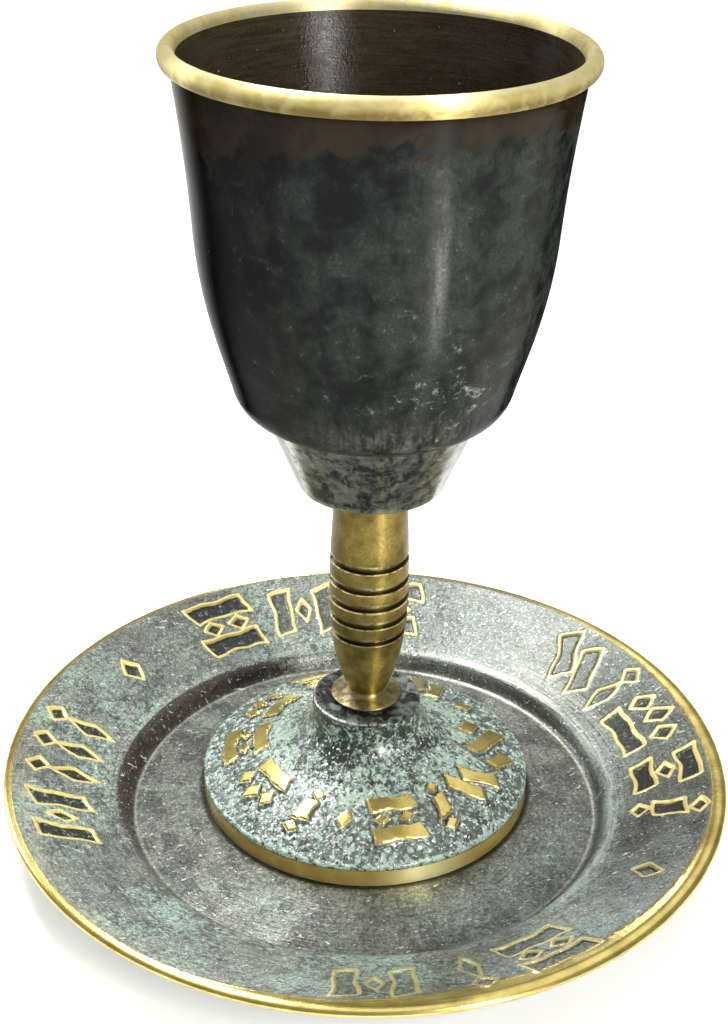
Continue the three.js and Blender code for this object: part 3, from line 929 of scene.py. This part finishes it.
def saucer():
    distance = row_distance(SAUCER_ROW, SAUCER_ROW_RADIUS, SAUCER_STROKE_SCALE)

    def strokes(bearing, radius, height):
        """The cut strokes, each with a low ridge round it."""
        near, worn = distance(bearing, radius)
        cut = -SAUCER_STROKE_DEPTH * (1 - smooth(near, -0.5, -0.1))
        ridge = RIDGE_HEIGHT * bell(near, 0, RIDGE_WIDTH)
        return cut + ridge, {"stroke": near, "worn": worn, **saucer_zones(bearing, radius)}

    def plain(bearing, radius, height):
        return 0.0, saucer_zones(bearing, radius)

    slope = saucer_slope()
    turning = Turning(stroke=FAR)
    turning.add(saucer_under(), SAUCER_COLUMNS)
    turning.add(edge_roll(ROLL_UNDER, ROLL_BARE, 6), SAUCER_COLUMNS, polish=1.0)
    turning.add(edge_roll(ROLL_SIDE, ROLL_OVER, 14), SAUCER_COLUMNS, plain)
    turning.add([p for p in slope if p[0] > STROKES_START], STROKE_COLUMNS, strokes)
    turning.add([p for p in slope if p[0] <= STROKES_START], SAUCER_COLUMNS, plain)
    turning.add(saucer_cove(), SAUCER_COLUMNS, plain)
    well = level(SHEET, 41.0, 40.8, 40.5, 40, 38, 34, 30, 26, 20, 14, 8, 3, 0)
    turning.add(well, SAUCER_COLUMNS, plain)
    return turning.piece("saucer_dressed", saucer_finish())


# ---- Foot ----


HOLLOW_COLUMNS = 150
FOOT_COLUMNS = 300
DOME_COLUMNS = 900
PEBBLE_SPACING = 1.15
PEBBLE_RADIUS = 0.55  # as a share of the spacing


def pebbles(bearing, radius):
    """Low round bosses, one in each cell of a scattered pattern."""
    points = zip(radius * np.cos(bearing), radius * np.sin(bearing))
    nearest = np.array([noise.voronoi(Vector((x, y, 0.0)) / PEBBLE_SPACING)[0][0] for x, y in points])
    return np.clip(1 - (nearest / PEBBLE_RADIUS) ** 2, 0, 1)


def foot_hollow():
    """The hollow underneath, from its middle to the foot's lower edge."""
    inner_edge = FOOT_RADIUS - FOOT_WALL
    curve = bezier((6.5, HOLLOW_HEIGHT), (11.0, 7.2), (20.0, 6.0), (inner_edge, 1.8), 12)
    return [*level(HOLLOW_HEIGHT, 0, 3), *curve, (inner_edge, 0)]


def foot_band():
    """The upright brass band."""
    base = (FOOT_RADIUS, 0.15)
    return [(FOOT_RADIUS - 0.15, 0), base, *line(base, (FOOT_RADIUS, BAND_TOP), 6)]


def foot_edge():
    """The rounded edge between the band and the dome."""
    side = [(FOOT_RADIUS, BAND_TOP + 0.15), (FOOT_RADIUS, BAND_EDGE - 0.2)]
    return [*side, (FOOT_RADIUS - 0.08, BAND_EDGE - 0.05), (FOOT_RADIUS - 0.25, BAND_EDGE + 0.1)]


def foot_dome():
    """The dome, from above its edge to the neck."""
    start = (FOOT_RADIUS - 0.4, BAND_EDGE + 0.2)
    return spaced(bezier(start, (22.0, 8.6), (11.6, 9.2), NECK_START, 80), 0.26)[1:]


def foot():
    distance = row_distance(FOOT_ROW, FOOT_ROW_RADIUS, FOOT_STROKE_SCALE)

    def band(bearing, radius, height):
        """The bare brass band, with a painted highlight at the front right."""
        return 0.0, {"sunny": zone(bearing, -69, 22)}

    def dome(bearing, radius, height):
        """Raised strokes over pebbles that are larger away from the neck."""
        near, _ = distance(bearing, radius)
        raised = FOOT_STROKE_HEIGHT * smooth(-near, -0.22, 0.12)
        size = 0.12 + 0.26 * smooth(radius, 15.0, 25.0)
        boss = pebbles(bearing, radius)
        grain = size * (boss - 0.4) * smooth(near, 0.1, 0.5)
        grain *= smooth(radius, NECK_RADIUS, NECK_RADIUS + 1.5)
        neck = smooth(radius, 18.5, 11.5) * (0.7 + 0.5 * zone(bearing, -115, 75))
        hollows = (1 - boss) * smooth(radius, 14.0, 21.0)
        # how strongly the painted glints show, most at the front left and front right
        glint = 0.35 + 0.65 * np.maximum(zone(bearing, -125, 70), zone(bearing, -40, 50))
        return raised + grain, {"stroke": near, "neck": neck, "boss": 1 - hollows, "glint": glint}

    def collar(bearing, radius, height):
        """A painted highlight line on the front left of its edge, and marbling made paler at the right as
        painted light.
        """
        worn = bell(height, FOOT_HEIGHT - 0.15, 0.11) * zone(bearing, -135, 80)
        return 0.0, {"worn": worn * (radius > 8.5), "lit": zone(bearing, 15, 120)}

    rounding = arc(NECK_RADIUS - NECK_ROUNDING, FOOT_HEIGHT - NECK_ROUNDING, NECK_ROUNDING, 0, 90, 8)
    turning = Turning(CUP_Y, FOOT_BASE, stroke=FAR)
    turning.add(foot_hollow(), HOLLOW_COLUMNS, boss=1.0)
    turning.add(foot_band(), FOOT_COLUMNS, band, polish=1.0, band=1.0)
    turning.add(foot_edge(), DOME_COLUMNS, boss=1.0, glint=0.8)
    turning.add(foot_dome(), DOME_COLUMNS, dome)
    turning.add(line(NECK_START, rounding[0], 8), FOOT_COLUMNS, neck=1.0, boss=1.0)
    turning.add(rounding[1:], FOOT_COLUMNS, collar, collar=1.0)
    turning.add(level(FOOT_HEIGHT, 8, 7, 6, 4, 2, 0), HOLLOW_COLUMNS, collar, collar=1.0)
    return turning.piece("foot_dressed", foot_finish())


# ---- Stem ----


STEM_COLUMNS = 128
STEM_STEP = 0.08


def stem_flange():
    """The thin flange on the foot, up to the stem's narrow start."""
    return [
        (0, 0), (5.3, 0), (5.45, 0.1), (5.5, 0.45), *arc(6.15, 0.75, 0.15, -90, 60, 5), (5.9, 0.98),
        (5.2, 1.12), (4.4, 1.3), (3.75, 1.5), (3.5, 1.75),
    ]


def cut_at(height):
    """Depth of the groove here, how near its floor this is, and whether it is the edge below."""
    half_ledge = GROOVE_LEDGE / 2
    for middle in GROOVES:
        up = height - middle
        if -GROOVE_LEDGE - GROOVE_EDGE < up <= -GROOVE_LEDGE:
            return 0.0, 0.0, 1.0
        if -GROOVE_LEDGE < up <= -half_ledge:
            return GROOVE_DEPTH * (up + GROOVE_LEDGE) / half_ledge, 1.0, 0.0
        if -half_ledge < up <= half_ledge:
            return GROOVE_DEPTH, 1.0, 0.0
        if half_ledge < up < GROOVE_LIP:
            fall = (GROOVE_LIP - up) / (GROOVE_LIP - half_ledge)
            return GROOVE_DEPTH * (1 - math.sqrt(1 - fall**2)), fall, 0.0
    return 0.0, 0.0, 0.0


def stem_zones(bearing, radius, height):
    """Darker at the left with tarnish and painted shade, pale on the flange, painted shade in the grooves
    that reaches up their lips at the right, and painted highlights on the lips.
    """
    _, near, edge = cut_at(height)
    right = zone(bearing, -5, 70)
    # painted shade in the grooves, reaching further up the lips at the right
    dark = smooth(near, 0.78 - 0.74 * right, 0.95 - 0.62 * right) * (1 - zone(bearing, -178, 42))
    # where the lips' painted highlights are strongest: front right and left
    rubbed = 0.2 + 0.8 * np.maximum(zone(bearing, -78, 30), zone(bearing, -170, 42))
    # tarnish and painted shade at the left, and high up at the right
    dull = zone(bearing, -172, 95) * (0.2 + 0.8 * smooth(height, 9, 18))
    dull = np.maximum(dull, 0.6 * zone(bearing, -10, 55) * smooth(height, 26, 32))
    flat = smooth(height, 2.4, 1.4)
    return 0.0, {
        # tarnish with painted shade, also on the flange's right
        "tarnish": np.maximum(dull * (1 - flat), 0.8 * flat * zone(bearing, -20, 70)),
        "flange": flat * (0.35 + 0.65 * zone(bearing, -150, 100)),
        "fresh": smooth(height, 15, 9) * (1 - flat),
        "groove": dark,
        "lip": np.maximum(smooth(near, 0.0, 0.2) * (1 - dark) * rubbed, edge * 0.85),
    }


def stem():
    lower = bezier((3.4, FLANGE_TOP), (4.9, 5.8), (6.7, 10.8), STEM_WIDEST, 60)
    upper = bezier(STEM_WIDEST, (6.88, 29.5), (6.3, 37.0), (6.05, STEM_HEIGHT), 60)
    radii, heights = np.array(lower + upper[1:]).T
    body = []
    for height in np.arange(FLANGE_TOP, STEM_HEIGHT, STEM_STEP):
        body.append((np.interp(height, heights, radii) - cut_at(height)[0], height))
    top = np.interp(STEM_HEIGHT, heights, radii)
    turning = Turning(CUP_Y, STEM_BASE)
    turning.add([*stem_flange(), *body, *level(STEM_HEIGHT, top, 0)], STEM_COLUMNS, stem_zones)
    return turning.piece("stem_dressed", stem_finish())


# ---- Bowl ----


BOWL_COLUMNS = 200


def bowl_wall(rim_start):
    """The outside, from the base up to the rim."""
    lower = [*arc(11.4, 1, 1, -90, -20, 6), *line((12.34, 0.66), SHOULDER_START, 14)]
    shoulder = bezier(SHOULDER_START, (20.3, 14.1), (22.2, 15.7), SHOULDER_END, 16)
    belly = bezier(SHOULDER_END, (24.8, 25.8), (27.6, 33.0), BELLY_END, 20)
    upper = bezier(BELLY_END, (28.8, 53.0), (29.8, 61.5), rim_start, 20)
    return lower + shoulder[1:] + belly[1:] + upper[1:-1]


def outside_zones(bearing, radius, height):
    """Brown below the rim, black with painted shade at the left and under the rim, lighter in front with a
    painted reflection, rubbed and flecked at the right, with a painted highlight streak and painted
    highlights on the lower cup.
    """
    depth = 7.8 + 5.5 * zone(bearing, -150, 60)
    # painted highlights on the lower cup, at the left and right
    highlight_strips = zone(bearing, -142, 9) + 0.6 * zone(bearing, -34, 9)
    above_cup = smooth(height, 14, 18)
    under_rim = smooth(height, BOWL_HEIGHT - 5.0, BOWL_HEIGHT - 2.6)
    return 0.0, {
        "brown": smooth(height, BOWL_HEIGHT - depth - 6, BOWL_HEIGHT - depth + 6),
        # painted shade at the left and just under the rim
        "shade": np.maximum(zone(bearing, -148, 52) * above_cup, under_rim),
        "matte": np.minimum(1.0, 1.5 * zone(bearing, -10, 56)) * above_cup,
        "rubbed": zone(bearing, -69, 13) * bell(height, 43, 13),
        # painted reflection, lighter in front
        "haze": zone(bearing, -68, 55) * bell(height, 50, 20),
        "pale": zone(bearing, -62, 45) * bell(height, 25, 10),
        # painted highlight streak at the front right
        "streak": bell(bearing_away(bearing, -71.5), 0, 1.7) * bell(height, 46, 10),
        "hem": zone(bearing, -80, 50) * bell(height, 17.5, 3.0),
        "lower": smooth(height, 14.2, 13.2),
        "crease": bell(height, 14.0, 0.25) * 0.9,
        "strip": np.maximum(highlight_strips * smooth(height, 13.4, 12.2), 0.8 * bell(height, 0.6, 0.35)),
    }


def rim_zones(bearing, radius, height):
    """Brass all round, greyer at the back, with painted shade underneath and a painted highlight along the
    crest at the front.
    """
    # painted shade underneath the roll
    under = smooth(height, RIM_MIDDLE + 0.8, RIM_MIDDLE - 0.8) * (radius > RIM_RADIUS - RIM_ROLL)
    # painted highlight along the crest at the front
    crest = 0.5 * bell(height, BOWL_HEIGHT - 0.15, 0.35) * zone(bearing, -90, 110)
    return 0.0, {"back": zone(bearing, 90, 110), "under": under, "crest": crest}


def inside_zones(bearing, radius, height):
    """Brown all over, and dull at the right."""
    return 0.0, {"brown": 1.0, "inner": 1.0, "shade": 0.9 * zone(bearing, 25, 50)}


def bowl():
    roll = elliptic_roll(RIM_RADIUS - RIM_ROLL, RIM_MIDDLE, RIM_ROLL, RIM_ROLL_SHARE, -105, 180, 26)
    wall = bowl_wall(roll[0])
    inside = [p for p in inset(wall, BOWL_WALL)[::-1] if 1.5 < p[1] < BOWL_HEIGHT - 2.0]
    turning = Turning(CUP_Y, BOWL_BASE)
    turning.add(level(0, 0, 6), BOWL_COLUMNS)
    turning.add([*wall, line(wall[-1], roll[0], 20)[-2]], BOWL_COLUMNS, outside_zones)
    turning.add(roll, BOWL_COLUMNS, rim_zones, polish=1.0, brown=1.0)
    turning.add([(roll[-1][0], RIM_MIDDLE - 0.08), *inside], BOWL_COLUMNS, inside_zones)
    turning.add([(10.2, 1.05), *level(BOWL_WALL, 8, 4, 0)], BOWL_COLUMNS, inside_zones)
    return turning.piece("bowl_dressed", bowl_finish())


# ---- Studio ----


FLOOR_HALF = 4.0  # metres
FLOOR_GREYS = ((0.84, 0.84, 0.83), (0.86, 0.86, 0.85))
FLOOR_GLOW = 0.30  # the pale table glows a little, so that the saucer's shadow on it is soft
GLOW_FADE = (95, 150)
AIR, AIR_STRENGTH = (1.0, 1.0, 0.97, 1), 0.30
AIM = Vector((0, 0.005, 0.06))  # metres
# Each lamp's direction from the cup, distance and size in metres, power in watts and colour.
LAMPS = {
    "window": ((-0.27, 0.34, 0.90), 0.9, (0.28, 0.28), 7.5, (1.0, 0.99, 0.96)),
    "ceiling": ((0.0, 0.35, 1.0), 2.2, (3.0, 3.0), 26.0, (1.0, 1.0, 1.0)),
    "strip": ((0.504, -0.733, 0.38), 0.9, (0.028, 0.7), 9.0, (1.0, 0.98, 0.94)),
    "fill": ((-0.83, 0.50, 0.36), 0.9, (0.16, 0.4), 2.2, (0.90, 0.95, 1.0)),
    "back": ((-0.12, 0.99, 0.04), 0.9, (0.06, 0.16), 1.0, (0.92, 0.97, 1.0)),
}
CAMERA_PLACE = Vector((-1.09, -241.26, 190.0))
CAMERA_DOWN, CAMERA_ROLL = 28.396, 1.077  # degrees
SENSOR, LENS = 36, 58.59


def table():
    mesh = bpy.data.meshes.new("floor")
    near, far = -FLOOR_HALF, FLOOR_HALF
    corners = [(near, near, 0), (far, near, 0), (far, far, 0), (near, far, 0)]
    mesh.from_pydata(corners, [], [(0, 1, 2, 3)])
    g = Graph("pale_floor")
    g.set(base_color=g.mix(g.noise(400, 3), *FLOOR_GREYS), roughness=0.9)
    glow = g.ramp(g.vector("LENGTH", g.place), *GLOW_FADE, FLOOR_GLOW, 0.0)
    g.set(emission_color=(1.0, 1.0, 1.0), emission_strength=glow)
    mesh.materials.append(g.material)
    in_scene("floor", mesh)


def air():
    """The even light from all round."""
    world = bpy.data.worlds.new("studio")
    world.use_nodes = True
    background = world.node_tree.nodes["Background"]
    background.inputs["Color"].default_value = AIR
    background.inputs["Strength"].default_value = AIR_STRENGTH
    bpy.context.scene.world = world
    bpy.context.scene.view_settings.view_transform = "Standard"


def lamp(name, direction, distance, size, power, colour):
    light = bpy.data.lights.new(name, "AREA")
    light.shape = "RECTANGLE"
    light.size, light.size_y = size
    light.energy = power
    light.color = colour
    item = in_scene(name, light)
    toward = Vector(direction).normalized()
    item.location = AIM + toward * distance
    item.rotation_mode = "QUATERNION"
    item.rotation_quaternion = toward.to_track_quat("Z", "Y")


def camera():
    """In front of the cup and above it, looking down, with a slight roll."""
    data = bpy.data.cameras.new("camera")
    data.sensor_width, data.lens = SENSOR, LENS
    item = in_scene("camera", data)
    down, roll = math.radians(CAMERA_DOWN), math.radians(CAMERA_ROLL)
    turn = Matrix.Rotation(math.radians(90) - down, 4, "X") @ Matrix.Rotation(roll, 4, "Z")
    item.matrix_world = Matrix.Translation(CAMERA_PLACE * MM) @ turn
    bpy.context.scene.camera = item


for made, node, slot in (
    (saucer(), "saucer", "grey_patina"),
    (foot(), "foot", "verdigris"),
    (stem(), "stem", "satin_brass"),
    (bowl(), "bowl", "dark_patina"),
):
    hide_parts(node)
    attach(made, "root")
table()
air()
for name, setting in LAMPS.items():
    lamp(name, *setting)
camera()
